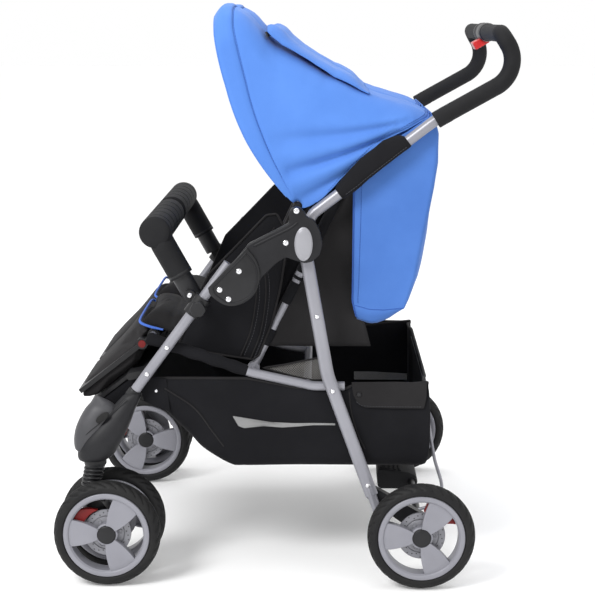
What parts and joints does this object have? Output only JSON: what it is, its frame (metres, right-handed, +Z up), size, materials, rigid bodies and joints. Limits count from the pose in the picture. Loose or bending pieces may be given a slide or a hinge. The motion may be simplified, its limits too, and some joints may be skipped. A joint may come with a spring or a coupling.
{
  "type": "side-by-side twin pushchair",
  "caption": "Folding side-by-side twin pushchair with separate blue-hooded reclining seats, foam push handle and bumper bar, sprung swivel casters and a basket.",
  "frame": {"origin": "on the ground under the middle of the overall box", "axes": "+X to the rear, along the direction of travel backwards; +Y to the pushchair's right; +Z up"},
  "size_m": [0.7946, 0.764, 0.9875],
  "materials": {
    "silver_tube": "satin silver-grey powder coat",
    "silver_rim": "silver-painted moulding",
    "bright_steel": "plated",
    "black_spring": "black-lacquered wire",
    "black_plastic": "fine-grained black moulding",
    "black_cloth": "black woven cloth",
    "black_foam": "closed-cell foam skin",
    "tyre_rubber": "matt rubber",
    "blue_cloth": "blue woven cloth",
    "red_plastic": "red moulding"
  },
  "bodies": {
    "chassis": {"front_legs": "silver_tube", "fork_housings": "black_plastic", "front_panel": "black_plastic", "arm_links": "black_plastic", "cover_plates": "black_plastic", "hinge_caps": "bright_steel", "frame_rivets": "bright_steel", "canopy_brackets": "black_plastic", "seat_frame": "silver_tube", "seat_cushion_left": "black_cloth", "seat_cushion_right": "black_cloth", "side_wings": "black_cloth", "basket": "black_cloth", "bumper_clamps": "black_plastic", "rear_drape_left": "blue_cloth", "rear_drape_right": "blue_cloth"},
    "push_handle": {"handle_tube": "silver_tube", "handle_grips": "black_foam", "handle_sleeves": "black_cloth", "release_housing": "black_plastic"},
    "handle_release": {"release_button": "red_plastic"},
    "rear_frame": {"rear_legs": "silver_tube", "rear_axle": "silver_tube", "axle_brackets": "black_plastic", "basket_hoop": "silver_tube"},
    "brake": {"brake_pedal": "black_plastic"},
    "bumper": {"bumper_bar": "black_foam", "bumper_grips": "black_foam"},
    "backrest_left": {"backrest_frame_left": "silver_tube", "backrest_pad_left": "black_cloth"},
    "footrest_left": {"footrest_board_left": "black_plastic", "footrest_pad_left": "black_cloth"},
    "footrest_key_left": {"footrest_button_left": "red_plastic"},
    "hood_left": {"canopy_bow_left": "black_plastic", "canopy_left": "blue_cloth"},
    "caster_left": {"caster_stem_left": "bright_steel", "caster_spring_left": "black_spring"},
    "fork_left": {"caster_yoke_left": "black_plastic"},
    "wheel_front_left_outer": {"tyre_front_left_outer": "tyre_rubber", "rim_front_left_outer": "silver_rim"},
    "wheel_front_left_inner": {"tyre_front_left_inner": "tyre_rubber", "rim_front_left_inner": "silver_rim"},
    "wheel_rear_left": {"tyre_rear_left": "tyre_rubber", "rim_rear_left": "silver_rim"},
    "backrest_right": {"backrest_frame_right": "silver_tube", "backrest_pad_right": "black_cloth"},
    "footrest_right": {"footrest_board_right": "black_plastic", "footrest_pad_right": "black_cloth"},
    "footrest_key_right": {"footrest_button_right": "red_plastic"},
    "hood_right": {"canopy_bow_right": "black_plastic", "canopy_right": "blue_cloth"},
    "caster_right": {"caster_stem_right": "bright_steel", "caster_spring_right": "black_spring"},
    "fork_right": {"caster_yoke_right": "black_plastic"},
    "wheel_front_right_outer": {"tyre_front_right_outer": "tyre_rubber", "rim_front_right_outer": "silver_rim"},
    "wheel_front_right_inner": {"tyre_front_right_inner": "tyre_rubber", "rim_front_right_inner": "silver_rim"},
    "wheel_rear_right": {"tyre_rear_right": "tyre_rubber", "rim_rear_right": "silver_rim"}
  },
  "joints": [
    {"name": "handle_fold", "type": "hinge", "parent": "chassis", "child": "push_handle", "pos_m": [0.033, 0, 0.592], "axis": [0, -1, 0], "range_deg": [0, 118]},
    {"name": "rear_leg_fold", "type": "hinge", "parent": "chassis", "child": "rear_frame", "pos_m": [0.033, 0, 0.592], "axis": [0, 1, 0], "range_deg": [0, 34], "deforming": ["basket"]},
    {"name": "release_press", "type": "slide", "parent": "push_handle", "child": "handle_release", "axis": [0, 0, 1], "range_m": [0, 0.004], "stiffness_N_per_m": 400, "springref_m": -0.003},
    {"name": "brake_press", "type": "hinge", "parent": "rear_frame", "child": "brake", "pos_m": [0.2356, 0, 0.0925], "axis": [0, -1, 0], "range_deg": [0, 20], "stiffness_Nm_per_rad": 1, "springref_deg": -22.92},
    {"name": "bumper_pull", "type": "slide", "parent": "chassis", "child": "bumper", "axis": [0.4891, 0, -0.8722], "range_m": [-0.06, 0]},
    {"name": "recline_left", "type": "hinge", "parent": "chassis", "child": "backrest_left", "pos_m": [-0.056, -0.132, 0.36], "axis": [0, 1, 0], "range_deg": [0, 50], "deforming": ["rear_drape_left"]},
    {"name": "footrest_tilt_left", "type": "hinge", "parent": "chassis", "child": "footrest_left", "pos_m": [-0.232, -0.132, 0.419], "axis": [0, 1, 0], "range_deg": [0, 55]},
    {"name": "footrest_key_left", "type": "slide", "parent": "footrest_left", "child": "footrest_key_left", "axis": [0, 1, 0], "range_m": [0, 0.004], "stiffness_N_per_m": 200, "springref_m": -0.003},
    {"name": "hood_fold_left", "type": "hinge", "parent": "chassis", "child": "hood_left", "pos_m": [0.021, -0.138, 0.648], "axis": [0, 1, 0], "range_deg": [0, 70], "deforming": ["canopy_left"]},
    {"name": "caster_swivel_left", "type": "hinge", "parent": "chassis", "child": "caster_left", "pos_m": [-0.333, -0.312, 0.2], "axis": [0, 0, 1], "continuous": true},
    {"name": "suspension_left", "type": "slide", "parent": "caster_left", "child": "fork_left", "axis": [0, 0, 1], "range_m": [0, 0.012], "stiffness_N_per_m": 6000, "springref_m": -0.02, "deforming": ["caster_spring_left"]},
    {"name": "wheel_spin_front_left_outer", "type": "hinge", "parent": "fork_left", "child": "wheel_front_left_outer", "pos_m": [-0.305, -0.354, 0.0925], "axis": [0, 1, 0], "continuous": true},
    {"name": "wheel_spin_front_left_inner", "type": "hinge", "parent": "fork_left", "child": "wheel_front_left_inner", "pos_m": [-0.305, -0.27, 0.0925], "axis": [0, 1, 0], "continuous": true},
    {"name": "wheel_spin_rear_left", "type": "hinge", "parent": "rear_frame", "child": "wheel_rear_left", "pos_m": [0.2356, -0.364, 0.0925], "axis": [0, 1, 0], "continuous": true},
    {"name": "recline_right", "type": "hinge", "parent": "chassis", "child": "backrest_right", "pos_m": [-0.056, 0.132, 0.36], "axis": [0, 1, 0], "range_deg": [0, 50], "deforming": ["rear_drape_right"]},
    {"name": "footrest_tilt_right", "type": "hinge", "parent": "chassis", "child": "footrest_right", "pos_m": [-0.232, 0.132, 0.419], "axis": [0, 1, 0], "range_deg": [0, 55]},
    {"name": "footrest_key_right", "type": "slide", "parent": "footrest_right", "child": "footrest_key_right", "axis": [0, -1, 0], "range_m": [0, 0.004], "stiffness_N_per_m": 200, "springref_m": -0.003},
    {"name": "hood_fold_right", "type": "hinge", "parent": "chassis", "child": "hood_right", "pos_m": [0.021, 0.138, 0.648], "axis": [0, 1, 0], "range_deg": [0, 70], "deforming": ["canopy_right"]},
    {"name": "caster_swivel_right", "type": "hinge", "parent": "chassis", "child": "caster_right", "pos_m": [-0.333, 0.312, 0.2], "axis": [0, 0, 1], "continuous": true},
    {"name": "suspension_right", "type": "slide", "parent": "caster_right", "child": "fork_right", "axis": [0, 0, 1], "range_m": [0, 0.012], "stiffness_N_per_m": 6000, "springref_m": -0.02, "deforming": ["caster_spring_right"]},
    {"name": "wheel_spin_front_right_outer", "type": "hinge", "parent": "fork_right", "child": "wheel_front_right_outer", "pos_m": [-0.305, 0.354, 0.0925], "axis": [0, 1, 0], "continuous": true},
    {"name": "wheel_spin_front_right_inner", "type": "hinge", "parent": "fork_right", "child": "wheel_front_right_inner", "pos_m": [-0.305, 0.27, 0.0925], "axis": [0, 1, 0], "continuous": true},
    {"name": "wheel_spin_rear_right", "type": "hinge", "parent": "rear_frame", "child": "wheel_rear_right", "pos_m": [0.2356, 0.364, 0.0925], "axis": [0, 1, 0], "continuous": true}
  ],
  "couplings": [
    {"joint": "rear_leg_fold", "follows": "handle_fold", "ratio": 0.28813}
  ]
}
